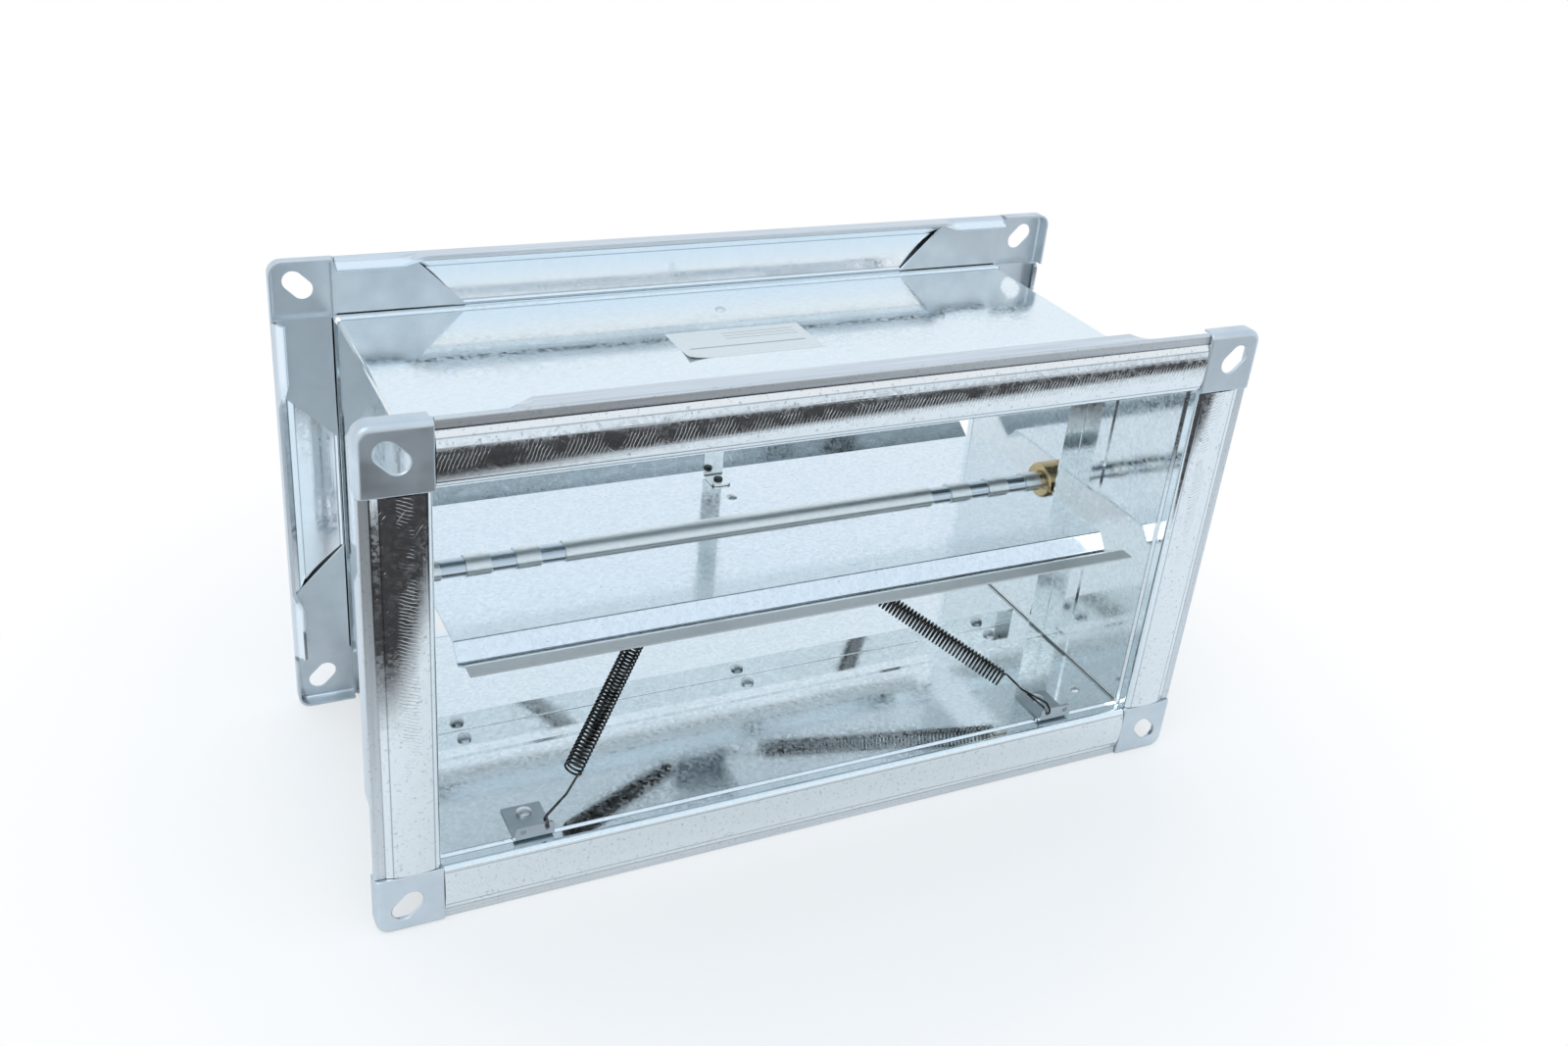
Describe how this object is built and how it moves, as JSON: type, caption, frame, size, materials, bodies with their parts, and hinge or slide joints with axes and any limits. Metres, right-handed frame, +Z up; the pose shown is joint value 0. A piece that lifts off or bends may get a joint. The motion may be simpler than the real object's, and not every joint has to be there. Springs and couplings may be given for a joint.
{
  "type": "fire damper",
  "caption": "Rectangular galvanised fire damper with rolled duct flanges, slotted corner plates and a grooved blade held open against its closing springs.",
  "frame": {"origin": "centre of the duct, on the blade shaft's axis", "axes": "+X along the blade shaft to the right, +Y along the air flow away from the viewer, +Z up"},
  "size_m": [0.466, 0.205, 0.266],
  "materials": {
    "galvanised_sheet": "bright spangled",
    "zinc_plated_plate": "matt",
    "brass": "satin",
    "spring_steel": "oiled black",
    "zinc_fastener": "bright zinc",
    "bright_steel": "drawn bright"
  },
  "bodies": {
    "casing": {"casing": "galvanised_sheet", "top_stop_angle": "galvanised_sheet", "bottom_stop_angle": "galvanised_sheet", "left_side_angle": "galvanised_sheet", "right_side_angle": "galvanised_sheet", "front_top_left_corner": "zinc_plated_plate", "front_top_right_corner": "zinc_plated_plate", "front_bottom_left_corner": "zinc_plated_plate", "front_bottom_right_corner": "zinc_plated_plate", "rear_top_left_corner": "zinc_plated_plate", "rear_top_right_corner": "zinc_plated_plate", "rear_bottom_left_corner": "zinc_plated_plate", "rear_bottom_right_corner": "zinc_plated_plate", "left_spring_bracket": "zinc_plated_plate", "right_spring_bracket": "zinc_plated_plate", "hold_open_strap": "zinc_plated_plate", "left_bush": "brass", "right_bush": "brass", "left_spring": "spring_steel", "right_spring": "spring_steel", "top_stop_rivets": "zinc_fastener", "bottom_stop_screws": "zinc_fastener", "spring_bracket_screws": "zinc_fastener", "strap_rivet": "zinc_fastener", "seam_rivet": "zinc_fastener", "fuse_stud": "zinc_fastener"},
    "blade": {"blade": "galvanised_sheet", "shaft": "bright_steel", "spring_lug": "zinc_plated_plate", "lug_rivet": "zinc_fastener", "fuse_washer": "brass"}
  },
  "joints": [
    {"name": "blade_hinge", "type": "hinge", "parent": "casing", "child": "blade", "pos_m": [0, 0, 0], "axis": [-1, 0, 0], "range_deg": [0, 90], "deforming": ["left_spring", "right_spring"]}
  ]
}
